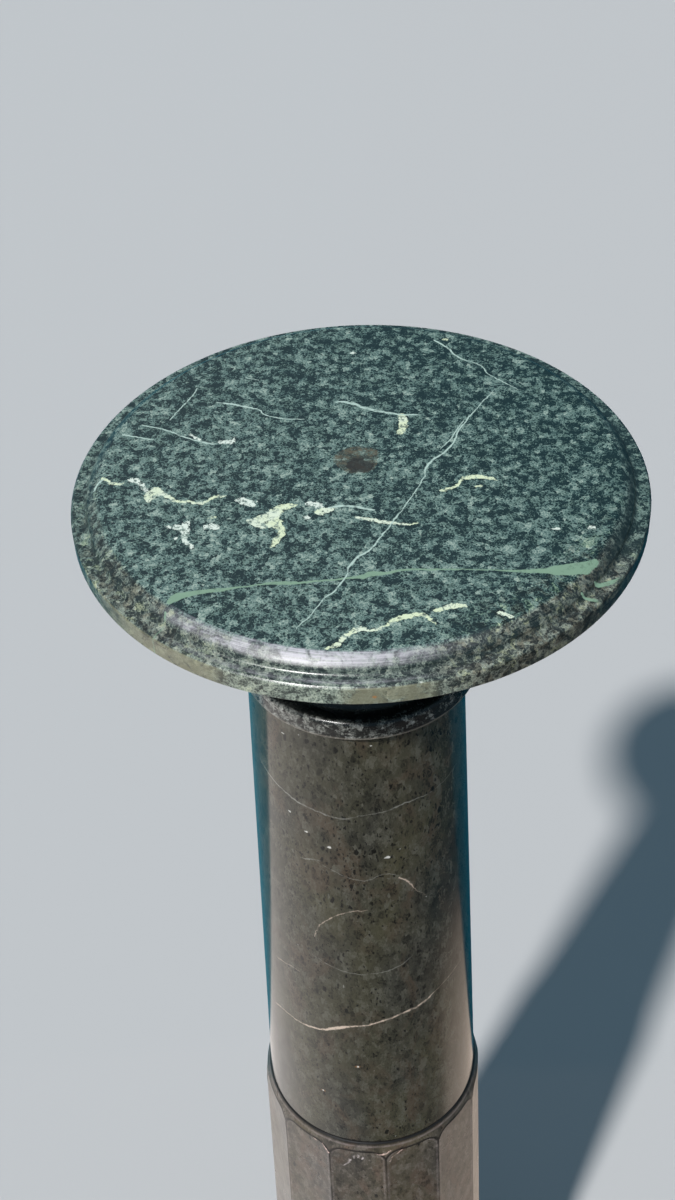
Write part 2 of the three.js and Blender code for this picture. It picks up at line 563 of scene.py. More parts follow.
# One vein: Aside is the distance from its straight line, Path and Width come from its two curves
def makeVeinLine():
    group, given, out = newGroup("veinLine", {
        "Aside": 0.0, "Path": 0.5, "Reach": 10.0, "Width": 0.0, "Thickness": 1.0, "Softness": 0.4,
        "Before": 0.0}, ["Mask"])
    bend = times(calc('SUBTRACT', given["Path"], 0.5), given["Reach"])
    away = calc('ABSOLUTE', calc('SUBTRACT', given["Aside"], bend))
    half = times(given["Width"], given["Thickness"])
    mask = calc('DIVIDE', calc('SUBTRACT', half, away), given["Softness"], clamp=True)
    link(calc('MAXIMUM', mask, given["Before"]), out["Mask"])
    return group


# Polish: uneven gloss from handling, fine scratches and small open pits
def makePolish():
    group, given, out = newGroup("stonePolish", {
        "Vector": None, "Roughness": 0.2, "Smears": 0.08, "Scratches": 0.05, "Pits": 0.3},
        ["Roughness", "Height"])
    place = given["Vector"]
    smear = remap(noise(place, 22.0, 4.0, 0.6, 0.8), 0.35, 0.68)
    rough = calc('MULTIPLY_ADD', smear, given["Smears"], given["Roughness"])
    lines = 0.0
    for turn, squeeze in ((0.5, (900, 28, 300)), (1.9, (34, 1100, 300)), (-0.4, (26, 260, 1200))):
        way = mapped(place, Rotation=(0.2, 0.1, turn), Scale=squeeze)
        lines = calc('MAXIMUM', remap(noise(way, 1.0, 1.0), 0.71, 0.76), lines)
    link(calc('MULTIPLY_ADD', lines, given["Scratches"], rough, clamp=True), out["Roughness"])
    pit = addNode('ShaderNodeTexVoronoi', {"Vector": place, "Scale": 420.0}).outputs["Distance"]
    holes = times(remap(pit, 0.05, 0.2, -1.0, 0.0), given["Pits"])
    swell = noise(place, 60.0, 3.0, 0.5)
    link(calc('MULTIPLY_ADD', lines, -0.25, calc('ADD', holes, swell)), out["Height"])
    return group


# Nearness to a level, for painted shade and grime in joints and painted light along arrises
def makeNearLevel():
    group, given, out = newGroup("nearLevel", {
        "Value": 0.0, "Level": 0.0, "Reach": 1.0, "Before": 0.0}, ["Mask"])
    away = calc('ABSOLUTE', calc('SUBTRACT', given["Value"], given["Level"]))
    mask = calc('SUBTRACT', 1.0, calc('DIVIDE', away, given["Reach"]), clamp=True)
    link(calc('MAXIMUM', mask, given["Before"]), out["Mask"])
    return group


def nearTo(value, level, reach, before=0.0):
    return useGroup(nearLevel, {"Value": value, "Level": level, "Reach": reach, "Before": before})["Mask"]


uneven = makeUneven()
patches = makePatches()
grains = makeGrains()
veinLine = makeVeinLine()
polish = makePolish()
nearLevel = makeNearLevel()
print("node groups built")


def curveOf(value, points):
    made = addNode('ShaderNodeFloatCurve', {"Value": value})
    curve = made.mapping.curves[0]
    while len(curve.points) < len(points):
        curve.points.new(0.5, 0.5)
    for spot, (x, y) in zip(curve.points, sorted(points)):
        spot.location = (x, y)
        spot.handle_type = 'AUTO_CLAMPED'
    made.mapping.update()
    return made.outputs[0]


# Draws a vein through real places, given as (x, y, half width) in mm on the coordinates' plane
def drawVein(place, course, softness=0.35, before=0.0):
    start, end = Vector(course[0][:2]), Vector(course[-1][:2])
    length = (end - start).length
    along = (end - start) / length
    aside = Vector((-along.y, along.x))
    offsets = [(Vector(spot[:2]) - start).dot(aside) for spot in course]
    travels = [(Vector(spot[:2]) - start).dot(along) / length for spot in course]
    reach = 2.1 * max([abs(value) for value in offsets] + [1.0])
    thick = max(spot[2] for spot in course)
    tip = 0.02 if length > 7 else 0.3
    ownPlace = addNode('ShaderNodeMapping', {
        "Vector": place, "Location": (start.x * mm, start.y * mm, 0),
        "Rotation": (0, 0, math.atan2(along.y, along.x)), "Scale": (length * mm, mm, mm)},
        vector_type='TEXTURE').outputs[0]
    own = partsOf(ownPlace)
    path = curveOf(own[0], [(t, 0.5 + offset / reach) for t, offset in zip(travels, offsets)])
    widths = [(min(max(t, tip), 1 - tip), spot[2] / thick) for t, spot in zip(travels, course)]
    width = curveOf(own[0], [(0, 0)] + widths + [(1, 0)])
    return useGroup(veinLine, {
        "Aside": own[1], "Path": path, "Reach": reach, "Width": width, "Thickness": thick,
        "Softness": softness, "Before": before})["Mask"]


def drawVeins(place, courses, softness):
    mask = 0.0
    for course in courses:
        mask = drawVein(place, course, softness, mask)
    return mask


def newStone(name):
    material = bpy.data.materials.new(name)
    emptyTree(material)
    shader = addNode('ShaderNodeBsdfPrincipled', {"IOR": 1.56})
    shader.location = (3000, 0)
    output = addNode('ShaderNodeOutputMaterial', {"Surface": shader.outputs[0]})
    output.location = (3300, 0)
    return material, shader, addNode('ShaderNodeTexCoord').outputs["Object"]


def surfaceFinish(shader, place, colour, look, rough=None, relief=None):
    link(colour, shader.inputs["Base Color"])
    gloss = useGroup(polish, {
        "Vector": place, "Roughness": rough or look["roughness"], "Smears": look["smears"],
        "Scratches": look["scratches"], "Pits": look["pits"]})
    link(gloss["Roughness"], shader.inputs["Roughness"])
    height = calc('ADD', gloss["Height"], relief) if relief else gloss["Height"]
    bump = addNode('ShaderNodeBump', {"Height": height, "Strength": look["bump"], "Distance": 0.4 * mm})
    link(bump.outputs[0], shader.inputs["Normal"])


# green serpentine of the slab and the plinth

greenLook = {
    "tones": [(0.008, 0.028, 0.031), (0.058, 0.114, 0.109), (0.174, 0.272, 0.246), (0.41, 0.51, 0.44)],
    "rimTones": [(0.028, 0.036, 0.035), (0.112, 0.127, 0.116), (0.248, 0.274, 0.230),
                 (0.42, 0.44, 0.36)],
    "thread": (0.29, 0.42, 0.33),
    # dark of the cove: dirt all round, with painted shade on the right
    "shadeAndGrime": (0.008, 0.020, 0.021),
    "brown": (0.58, 0.49, 0.43),        # both multiply the stone's own colour
    "tan": (1.40, 1.30, 0.98),
    "scuffAndHighlight": (0.60, 0.575, 0.635),     # painted highlight on the scuffed polish of the ovolo, towards the light
    "olive": (0.235, 0.230, 0.150),
    "whiteVein": (0.54, 0.70, 0.63),
    "mintVein": (0.262, 0.410, 0.290),
    "yellowVein": (0.83, 0.93, 0.64),
    "milkVein": (0.86, 0.95, 0.85),
    "rust": (0.50, 0.19, 0.03),
    "plug": (0.135, 0.116, 0.076),
    "plugCore": (0.022, 0.022, 0.020),
    "edgeShade": (0.42, 0.38, 0.36),     # painted shade and painted light of the edge wall; these two multiply as well
    "edgeLight": (1.28, 1.26, 1.22),
    "roughness": 0.16, "smears": 0.06, "scratches": 0.06, "pits": 0.4, "bump": 0.10,
    "rimRoughness": 0.31,
    "discEdge": 135,                    # distances from the middle, then a level, in mm
    "coveFrom": 140.4,
    "edgeFrom": 149.2,
    "edgeMiddle": 1134.5,
}

# Half widths in mm, places from the slab's middle
whiteVeins = [
    [(75, 69, .33), (65, 53, .45), (55, 36, .52), (48, 18, .59), (36, 3, .78), (34, -6, .45),
     (26, -24, .45), (12, -51, .59), (5, -63, .65), (-4, -73, .78), (-6, -81, .45), (-11, -91, .59),
     (-18, -99, .45), (-24, -110, .39), (-28, -115, .39), (-31, -121, .33)],
    [(56, 41, .39), (48, 24, .45), (43, 16, .26)],
    [(43, 119, .65), (50, 111, .65), (57, 100, .52), (68, 92, .52), (73, 82, .45), (81, 74, .45),
     (88, 67, .33)],
    [(-78, 64, .45), (-67, 61, .78), (-56, 57, .65), (-47, 49, .52), (-29, 46, .39)],
    [(-127, 37, .59), (-109, 31, .45)],
    [(-117, 45, .45), (-104, 40, .65), (-93, 33, .59), (-77, 26, .78), (-73, 32, .52)],
    [(-102, 49, .45), (-97, 59, .52), (-92, 69, .52), (-89, 78, .45)],
    [(-63, 87, .39), (-55, 84, .39)],
    [(-13, 61, .65), (-5, 60, 1.04), (3, 55, 1.17), (15, 50, .91), (33, 47, .45)],
    [(-137, -10, .65), (-135, -5, .78), (-132, -1, .52)],
    [(-16, -30, .65), (-6, -29, .91), (8, -33, .65)],
]
mintVeins = [
    [(-92, -98, 3.2), (-85, -93, 2.4), (-76, -91, 1.7), (-68, -90, 1.3), (-58, -88, .8),
     (-51, -87, .6), (-38, -86, 1.4), (-28, -86, .9), (-18, -85, .8), (-7, -84, .9), (1, -83, 1.5),
     (5, -81, 2.0), (12, -81, 1.2), (19, -79, 1.0), (34, -79, .8), (57, -80, .5), (68, -81, .7),
     (77, -82, 1.2), (89, -82, 2.0), (94, -82, 3.6), (104, -81, 4.2), (111, -78, 3.0), (115, -75, 1.6),
     (119, -71, .3)],
    [(112, -86, .8), (119, -83.5, 1.6), (125, -81, 1.7), (135, -76, .8)],
    [(105, -93.5, .8), (113, -96, 1.2), (122, -102, .8)],
]
rimMints = [[(-92, -102, .9), (-93, -106, .6), (-97, -112, .5), (-102, -117, .4)]]
yellowVeins = [
    [(-17, -132, 1.0), (-11, -129.5, 1.5), (-7, -124, 1.7), (0, -119.4, 1.5), (6, -120.3, .9),
     (12, -117, .9), (17, -113.3, 1.9), (22, -111.4, 1.6), (28, -110.3, 1.3), (32, -113, 2.0),
     (36, -118, 1.0)],
    [(34, -108.5, .9), (43, -105.5, 1.8), (50, -104.8, 1.0)],
    [(64, -110, .8), (71, -114, 1.5)],
    [(-133, -1, 1.2), (-129, -4, 1.2), (-124, -6, 1.4), (-121, -4, .7)],
    [(-109, -20, 2.0), (-107, -16, 4.2), (-103, -13, 4.0), (-99, -15.5, 2.6)],
    [(-101, -15, 1.6), (-97, -18, 1.5), (-92, -21.2, 1.1), (-86, -22.4, .9), (-81, -23.3, 1.3),
     (-76, -20.6, 1.1), (-73, -18.7, 1.3), (-68, -18.2, .6)],
    [(-57, -38.7, 1.4), (-51, -40, 4.4), (-46, -38.5, 5.6), (-42.4, -33, 4.2), (-38, -28.5, 2.6),
     (-31, -26.6, .8)],
    [(-53, -41, 2.4), (-46, -40.5, 4.2), (-38.6, -42, 3.0)],
    [(-40, -42, 2.4), (-38.9, -48.7, 2.2), (-41, -54, 1.8), (-43, -59.5, 1.0)],
    [(-22, -34, 1.6), (-17.2, -32.5, 2.2), (-12.5, -30.6, 1.0)],
    [(-76, -36, 1.0), (-72, -34.5, 1.5)],
    [(23, 49, 2.0), (24, 39, 2.6), (22, 30, 1.8)],
    [(-2, -38, 1.0), (8, -41, 1.2), (20, -44, .9), (30, -44, .7)],
    [(41, -19, .7), (49, -16, 1.2), (54, -9, 1.4), (62, -8, 1.6), (71, -11, .8)],
    [(58, -16, 1.0), (63, -16, 1.3)],
    [(48, 119, 1.0), (52, 119, 1.1)],
]
milkVeins = [
    [(-119, -2, 1.7), (-115, -4, 1.9), (-111, -9, 1.8), (-109, -14, .7)],
    [(-63, -21.7, .8), (-58, -23, 2.8), (-54, -25, 2.6), (-51, -23, .8)],
    [(-27, -25.7, 1.2), (-22.4, -27, 2.2), (-18.5, -31, 1.8)],
    [(-28, -36.5, 1.6), (-24, -37.2, 1.2)],
    [(-97, -41.7, .8), (-91, -42, 2.2), (-88, -45, 2.4)],
    [(-87, -37.5, 2.2), (-87, -44, 2.4), (-86.5, -51, 1.8), (-84, -56, 1.6), (-82, -59, .8)],
    [(-92.5, -51.3, 1.4), (-90, -49.6, 1.2)],
    [(-78, -42.5, 1.4), (-73.2, -42, 2.6), (-70, -43, 1.6)],
    [(112, -51, 1.3), (117, -51, 1.6)],
    [(94, -51, .8), (99, -51, 1.0)],
    [(-5, 108, 1.0), (-1, 108, 1.2)],
    [(-74, 28, 1.2), (-69, 27, 2.0), (-65, 31, .9)],
    [(-91, 36, .8), (-84, 30, 1.0)],
]
plugStain = [(-13, 11, 4), (-9, 11, 8), (-2, 9, 12), (6, 8, 11), (10, 6, 5)]
plugCore = [(-5, 8, 4), (0, 4, 6.5), (7, 1, 4)]
rustSpot = [(4.5, 0, 1.0), (6.2, 0, 1.1), (7.6, .3, .6)]

# Shares by the bearing from the front, in degrees
stainedRim = [(-110, 0), (-85, .55), (-60, .9), (-40, .8), (-22, .3), (0, .1), (14, .35), (25, .95),
              (50, 1), (62, .55), (80, .2), (110, 0)]
# Dark in the cove: dirt all round, and painted shade stronger on the right, away from the light
coveDirtAndShade = [(-180, .3), (-110, .35), (-80, .3), (-40, .25), (0, .45), (40, .5), (58, .75), (70, .95),
            (110, .9), (180, .3)]
greyedRim = [(-180, .05), (-100, .1), (-75, .2), (-45, .7), (-20, .7), (0, .6), (20, .8), (50, .85),
             (66, .35), (90, .05), (180, .05)]
# The edge wall painted lighter towards the light and darker away from it
edgeLightAndShade = [(-180, .4), (-70, .5), (-40, .9), (8, 1), (18, .7), (32, .25), (60, .1), (110, .3),
            (180, .4)]
# Where the rim gets a painted highlight, facing the light
highlightRim = [(-180, 0), (-50, 0), (-42, .2), (-30, .75), (-12, 1), (2, .85), (12, .4), (26, .05),
             (40, 0), (180, 0)]
oliveEdge = [(-60, 0), (-48, .8), (-30, .9), (-24, .15), (-5, .1), (-1, .9), (11, .85), (16, 0),
             (60, 0)]


def threeTones(tone, colours):
    dark, middle, light, bright = colours
    colour = tint(remap(tone, 0.43, 0.49), dark, middle)
    colour = tint(remap(tone, 0.55, 0.62), colour, light)
    return tint(remap(tone, 0.70, 0.84), colour, bright)


def byBearing(bearing, points):
    turn = remap(bearing, -math.pi, math.pi)
    return curveOf(turn, [((degrees + 180) / 360, share) for degrees, share in points])


# Distance in mm from the middle, bearing from the front and level in mm
def polarPlace(place):
    x, y, z = partsOf(place)
    reach = vectorCalc('LENGTH', {0: joined(x, y)})["Value"]
    bearing = calc('ARCTAN2', x, times(y, -1.0))
    return times(reach, 1 / mm), bearing, times(z, 1 / mm)


def greenStone(look, name, veined, middleX):
    material, shader, place = newStone(name)
    fromMiddle = mapped(place, Location=(-middleX * mm, 0, 0))
    bent = shaken(fromMiddle, 9.0, 1.6)
    grain = useGroup(patches, {"Vector": bent, "Size": 1.7, "Cluster": 4.2, "Chance": 0.18, "Rims": 0.18})
    tone = swing(remap(grain["Cloud"], 0.36, 0.66), 0.5, -0.06, grain["Tone"])
    ends = partsOf(fromMiddle)
    # The stone is made paler towards the left and the front, the side the light comes from: painted light
    paintedLight = calc('MULTIPLY_ADD', ends[0], -0.22, times(ends[1], -0.24))
    tone = calc('ADD', tone, calc('SUBTRACT', paintedLight, 0.060))
    colour = threeTones(tone, look["tones"])
    thread = nearTo(tone, 0.505, 0.035)
    patchy = remap(noise(bent, 170.0, 3.0, 0.6), 0.44, 0.58, 0.0, 0.75)
    colour = tint(times(thread, patchy), colour, look["thread"])
    if not veined:
        surfaceFinish(shader, place, colour, look)
        return material
    reach, bearing, level = polarPlace(fromMiddle)
    broken = noise(place, 260.0, 3.0, 0.7)
    frayed = noise(place, 420.0, 3.0, 0.75, 0.6)
    blotch = noise(place, 140.0, 4.0, 0.65, 0.8)

    # The rim is browner and greyer than the disc, with stains that reach over its edge
    rim = remap(reach, look["discEdge"] - 0.6, look["discEdge"] + 1.2)
    rimColour = threeTones(swing(tone, 0.5, 0.95, 0.53), look["rimTones"])
    colour = tint(times(rim, byBearing(bearing, greyedRim)), colour, rimColour)
    near = times(remap(reach, 108, 134, kind='SMOOTHSTEP'), remap(bearing, 0.25, 0.5))
    stained = times(byBearing(bearing, stainedRim), calc('MAXIMUM', near, rim))
    for low, high, over in ((0.49, 0.58, look["brown"]), (0.47, 0.38, look["tan"])):
        colour = tint(times(stained, remap(blotch, low, high, 0.0, 0.9)), colour, over, 'MULTIPLY')
    # The cove is darkened all round as dirt, and more on the right, away from the light, as painted shade
    cove = remap(nearTo(reach, look["coveFrom"], 4.2), 0.1, 0.7)
    cove = times(cove, byBearing(bearing, coveDirtAndShade))
    colour = tint(times(cove, remap(blotch, 0.62, 0.42, 0.5, 1.0)), colour, look["shadeAndGrime"])
    edge = remap(reach, look["edgeFrom"], look["edgeFrom"] + 0.5)
    # The edge wall is painted lighter on the front and the left, towards the light, and darker on the
    # right, away from it: painted light and shade
    pale = tint(byBearing(bearing, edgeLightAndShade), look["edgeShade"], look["edgeLight"])
    colour = tint(edge, colour, pale, 'MULTIPLY')
    olive = times(byBearing(bearing, oliveEdge), edge)
    colour = tint(times(olive, remap(blotch, 0.64, 0.52, 0.3, 0.9)), colour, look["olive"])

    # Lathe streaks in the polish of the rim; where the ovolo and the lip face the light, a pale streaky
    # painted highlight on scuffed, rougher polish
    streak = noise(joined(reach, times(bearing, 2.2), level), 1.1, 3.0, 0.6)
    scuffAndHighlight = remap(nearTo(reach, 137.0, 4.2), 0.1, 0.5)
    scuffAndHighlight = calc('MAXIMUM', scuffAndHighlight, times(nearTo(reach, 146.2, 2.0), 0.5))
    scuffAndHighlight = times(scuffAndHighlight, byBearing(bearing, highlightRim))
    paintedHighlight = times(remap(streak, 0.38, 0.60, 0.3, 1.0), remap(blotch, 0.60, 0.44, 0.3, 1.0))
    colour = tint(times(scuffAndHighlight, paintedHighlight), colour, look["scuffAndHighlight"])

    # Veins, in order of age
    drawn = shaken(shaken(fromMiddle, 7.0, 0.9), 1.8, 0.5)
    ragged = shaken(shaken(drawn, 3.0, 1.5), 1.1, 0.9)
    halo = drawVeins(ragged, yellowVeins + milkVeins, 2.6)
    colour = tint(times(halo, remap(broken, 0.42, 0.56, 0.0, 0.75)), colour, look["tones"][3])
    milky = remap(noise(fromMiddle, 45.0, 3.0, 0.6), 0.42, 0.54, 0.45, 1.0)
    yellow = times(drawVeins(ragged, yellowVeins, 0.35), remap(frayed, 0.40, 0.50, 0.1, 1.0))
    colour = tint(yellow, colour, tint(milky, look["milkVein"], look["yellowVein"]))
    milk = times(drawVeins(ragged, milkVeins, 0.5), remap(frayed, 0.43, 0.52))
    colour = tint(milk, colour, look["milkVein"])
    mint = times(drawVeins(drawn, mintVeins, 0.4), remap(broken, 0.32, 0.45, 0.6, 0.95))
    mint = times(mint, remap(reach, 147.0, 148.6, 1.0, 0.1))
    trail = times(drawVeins(drawn, rimMints, 0.5), remap(broken, 0.4, 0.5, 0.1, 0.7))
    colour = tint(calc('MAXIMUM', mint, trail), colour, look["mintVein"])
    white = times(drawVeins(drawn, whiteVeins, 0.3), remap(broken, 0.32, 0.5, 0.35, 1.0))
    colour = tint(white, colour, look["whiteVein"])

    # The plug at the middle, and a rust spot on the edge
    stain = times(drawVein(ragged, plugStain, 1.5), remap(broken, 0.38, 0.56, 0.9, 0.25))
    colour = tint(stain, colour, look["plug"])
    colour = tint(times(drawVein(ragged, plugCore, 1.4), 0.85), colour, look["plugCore"])
    up = calc('SUBTRACT', times(level, mm), look["edgeMiddle"] * mm)
    wall = joined(times(calc('SINE', bearing), slabSizes["radius"] * mm), up)
    rust = times(times(drawVein(wall, rustSpot, 0.6), 0.6), edge)
    facing = calc('LESS_THAN', calc('ABSOLUTE', bearing), 1.0)
    colour = tint(times(rust, facing), colour, look["rust"])

    rimRough = remap(streak, 0.36, 0.64, look["rimRoughness"] - 0.07, look["rimRoughness"] + 0.10)
    rough = swing(rimRough, look["roughness"], rim, look["roughness"])
    rough = calc('MULTIPLY_ADD', scuffAndHighlight, 0.06, rough)
    surfaceFinish(shader, place, colour, look, rough, times(times(streak, rim), 0.8))
    return material


# grey serpentine of the shaft and the drum

greyLook = {
    "base": (0.042, 0.041, 0.032),
    "olive": (0.066, 0.061, 0.036),
    "brown": (0.076, 0.056, 0.038),
    "pale": (0.13, 0.125, 0.10),
    "speck": (0.004, 0.005, 0.004),
    "glint": (0.70, 0.68, 0.64),
    "rust": (0.40, 0.17, 0.05),
    "vein": (0.66, 0.52, 0.42),
    "arc": (0.42, 0.41, 0.37),
    # painted shade and grime of the joints, and the dark line of the arches
    "shadeAndGrime": (0.005, 0.005, 0.005),
    # painted highlight along the drum's top arris and under the arches
    "paintedHighlight": (0.17, 0.155, 0.14),
    "roughness": 0.10, "smears": 0.05, "scratches": 0.05, "pits": 0.35, "bump": 0.07,
    "arrisLevel": 604.6,                # levels in mm
    "lowerJoint": 607.75,
    "upperJoint": 1017.05,
}
drumLook = dict(greyLook, roughness=0.27, smears=0.06)

# Places on the front, x across and height up, in mm, with half widths
shaftVeins = [
    [(-64, 720, .6), (-56, 726, .6), (-46, 729, .9), (-36, 732, 1.0), (-25, 738, 1.3), (-21, 741, 1.9),
     (-15, 744, 1.3), (2, 749, .9), (15, 753, 1.0), (27, 756, 1.2), (37, 758, 1.2), (44, 762, .7),
     (54, 765, .5), (62, 766, .4)],
    [(-31, 830, .4), (-27, 845, .5), (-19, 856, .5), (-11, 862, .6), (3, 866, .5)],
    [(22, 891, .8), (28, 883, .8), (33, 872, .3), (38, 864, .2)],
    [(-59, 778, .3), (-49, 785, .5), (-43, 786, .3)],
]
shaftArc = [
    [(-59, 962, .6), (-51, 957, .8), (-46, 955, .8), (-34, 951, .9), (-22, 949, .8), (-11, 947, .7),
     (0, 950, .5), (12, 951, .6), (23, 953, .8), (29, 954, .7), (41, 952, .5), (58, 954, .3)],
    [(-35, 812, .4), (-20, 806, .6), (-2, 802, .5), (16, 804, .6), (30, 812, .4)],
    [(-28, 905, .3), (0, 893, .6), (14, 897, .6), (22, 892, .4)],
    [(-37, 902, .5), (-29, 905, .7), (-23, 906, .4)],
]
shaftGlints = [
    [(-42, 939, .7), (-40, 939, .9)], [(-33, 929, .7), (-31, 928, 1.0)],
    [(-20, 921, .9), (-17, 920, 1.3)],
    [(13, 911, .9), (17, 912, 1.3)], [(7, 1006, .8), (9, 1006, .6)], [(-42, 1002, .6), (-40, 1002, .7)],
    [(-32, 1007, .5), (-31, 1007, .5)], [(22, 916, .4), (23, 916, .5)],
    [(15.5, 613, .4), (16.5, 613, .5)],
    [(-9.2, 700.4, .9), (-7.4, 700.4, 1.0)], [(-34.2, 662, 1.0), (-32.4, 662, 1.1)],
    [(2, 696, .5), (2.8, 696, .5)],
    [(-15, 785, .3), (-15, 790, .35)], [(-43, 814, .35), (-42, 814, .4)],
    [(38, 862, .5), (39, 862, .5)],
]
shaftRust = [[(-10.5, 700.4, 1.3), (-6.5, 700.4, 1.4)], [(-35.5, 662, 1.3), (-31.5, 662, 1.4)]]
drumGlints = [
    [(-22.5, 576, .7), (-19, 581, 1.1), (-17, 586, 1.0)], [(-14.5, 587, .8), (-14, 592, 1.1)],
    [(-11.8, 588, .9), (-11.2, 593, 1.2)], [(-8.8, 586, .8), (-8, 591, 1.2)],
    [(-4.4, 586, .4), (-3, 588, .6)],
]
archGlints = [
    [(-43.4, 596.4, .8), (-40, 596.5, .5)], [(-37, 599, .5), (-35.4, 596, .8), (-32.2, 590.2, 1.1)],
    [(.8, 598.5, .5), (6, 597.5, .8), (12.1, 600.4, .6)],
    [(12.5, 590, .6), (17, 594, .8), (21.4, 597.9, .6)],
    [(9.5, 589.5, .6), (11, 586.5, .8), (13.5, 590, .6)],
]


# Distance in mm from the line of the facets' arches, less than zero inside a facet
def archDistance(bearing, level, sizes, foot):
    turn = calc('SUBTRACT', bearing, math.radians(sizes["turn"]))
    share = calc('FRACT', calc('ADD', calc('DIVIDE', turn, math.tau / sizes["sides"]), 24.0))
    width = 2 * sizes["topCorner"] * math.sin(math.pi / sizes["sides"])
    aside = times(calc('ABSOLUTE', calc('SUBTRACT', share, 0.5)), width + 0.3)
    across = calc('MAXIMUM', calc('SUBTRACT', aside, sizes["archFlat"]), 0.0)
    centre = foot / mm + sizes["height"] - sizes["crown"] - sizes["archRound"]
    up = calc('MAXIMUM', calc('SUBTRACT', level, centre), 0.0)
    square = calc('MULTIPLY_ADD', across, across, times(up, up))
    return calc('SUBTRACT', calc('SQRT', square), sizes["archRound"]), centre


def greyStone(look, name, tone, specks, drumFoot=None):
    material, shader, place = newStone(name)
    bearing, level = polarPlace(place)[1:]
    long = mapped(place, Scale=(1, 1, 0.5))
    bent = shaken(shaken(long, 8.0, 1.4), 1.6, 0.9)
    grain = useGroup(patches, {"Vector": bent, "Size": 2.2, "Cluster": 6.0, "Chance": 0.14, "Rims": 0.05})
    colour = tint(remap(noise(long, 16.0, 3.0, 0.55, 0.5), 0.4, 0.62), look["base"], look["olive"])
    rust = noise(long, 34.0, 4.0, 0.6, 1.2)
    for part, low, high, most, over in (
            (rust, 0.5, 0.66, 0.85, "brown"), (grain["Tone"], 0.53, 0.80, 0.62, "pale"),
            (grain["Tone"], 0.45, 0.22, 0.6, "speck")):
        colour = tint(remap(part, low, high, 0.0, most), colour, look[over])
    few = times(remap(noise(place, 20.0, 2.0), 0.38, 0.58, 0.2, 1.0), specks)
    few = times(few, remap(level, 690, 850, 0.4, 1.15))
    for spacing, share, radius, softness, strength, over in (
            (4.6, times(few, 0.55), 0.29, 0.07, 0.92, "speck"), (2.3, few, 0.34, 0.10, 0.82, "speck"),
            (7.0, 0.25, 0.12, 0.04, 0.7, "pale")):
        spots = useGroup(grains, {"Vector": bent, "Spacing": spacing, "Share": share, "Radius": radius,
                                  "Softness": softness})["Mask"]
        colour = tint(times(spots, strength), colour, look[over])
    x, y, z = partsOf(place)
    drawn = shaken(shaken(joined(x, z), 9.0, 1.2), 2.0, 0.9)
    broken = noise(place, 220.0, 3.0, 0.7)
    facing = calc('LESS_THAN', y, 0.0)
    if drumFoot is None:
        vein = times(drawVeins(drawn, shaftVeins, 0.8), remap(broken, 0.38, 0.52, 0.25, 1.0))
        colour = tint(times(vein, facing), colour, look["vein"])
        arc = times(drawVeins(drawn, shaftArc, 1.0), remap(broken, 0.36, 0.54, 0.15, 0.75))
        colour = tint(times(arc, facing), colour, look["arc"])
        halo = times(drawVeins(drawn, shaftRust, 1.6), 0.75)
        colour = tint(times(halo, facing), colour, look["rust"])
        glint = drawVeins(drawn, shaftGlints, 0.6)
    else:
        away, centre = archDistance(bearing, level, drumSizes, drumFoot)
        # A painted highlight on each facet just under its arch, broken up
        paintedHighlight = times(nearTo(away, -1.5, 1.1), remap(broken, 0.42, 0.6, 0.1, 0.6))
        colour = tint(paintedHighlight, colour, look["paintedHighlight"])
        # A dark line painted along the arches, stronger towards their tops
        archLine = remap(nearTo(away, 0.5, 1.9), 0.05, 0.75)
        archLine = times(archLine, remap(level, centre - 40, centre - 2, 0.3, 1.0))
        colour = tint(times(archLine, 0.85), colour, look["shadeAndGrime"])
        # Pale scrapes on chips at the arches, made brighter as painted highlights
        scrapeAndGlint = times(drawVeins(drawn, archGlints, 0.9), remap(broken, 0.4, 0.52, 0.1, 0.9))
        colour = tint(times(scrapeAndGlint, facing), colour, look["vein"])
        glint = times(drawVeins(drawn, drumGlints, 1.2), remap(broken, 0.38, 0.54, 0.15, 0.7))
    colour = tint(times(times(glint, facing), 0.95), colour, look["glint"])
    # A painted highlight along the drum's top arris
    arris = times(nearTo(level, look["arrisLevel"], 1.2), remap(broken, 0.36, 0.6, 0.2, 0.7))
    colour = tint(arris, colour, look["paintedHighlight"])
    # Painted shade, with some dirt, in the joints under the collar and between the shaft and the drum
    joint = nearTo(level, look["upperJoint"], 1.8, nearTo(level, look["lowerJoint"], 3.0))
    colour = tint(remap(joint, 0.05, 0.7, 0.0, 0.95), colour, look["shadeAndGrime"])
    surfaceFinish(shader, place, tint(1.0, colour, tone, 'MULTIPLY'), look)
    return material


# dark serpentine of the capital and the base

darkLook = {
    "tones": [(0.014, 0.015, 0.014), (0.085, 0.088, 0.078), (0.225, 0.225, 0.205), (0.40, 0.40, 0.37)],
    # painted shade of the neck and the bell under the slab
    "neckShade": (0.004, 0.005, 0.005),
    # the lip colour is a painted highlight along the collar's lower arris
    "lip": (0.24, 0.21, 0.17),
    "roughness": 0.21, "smears": 0.08, "scratches": 0.06, "pits": 0.4, "bump": 0.10,
}


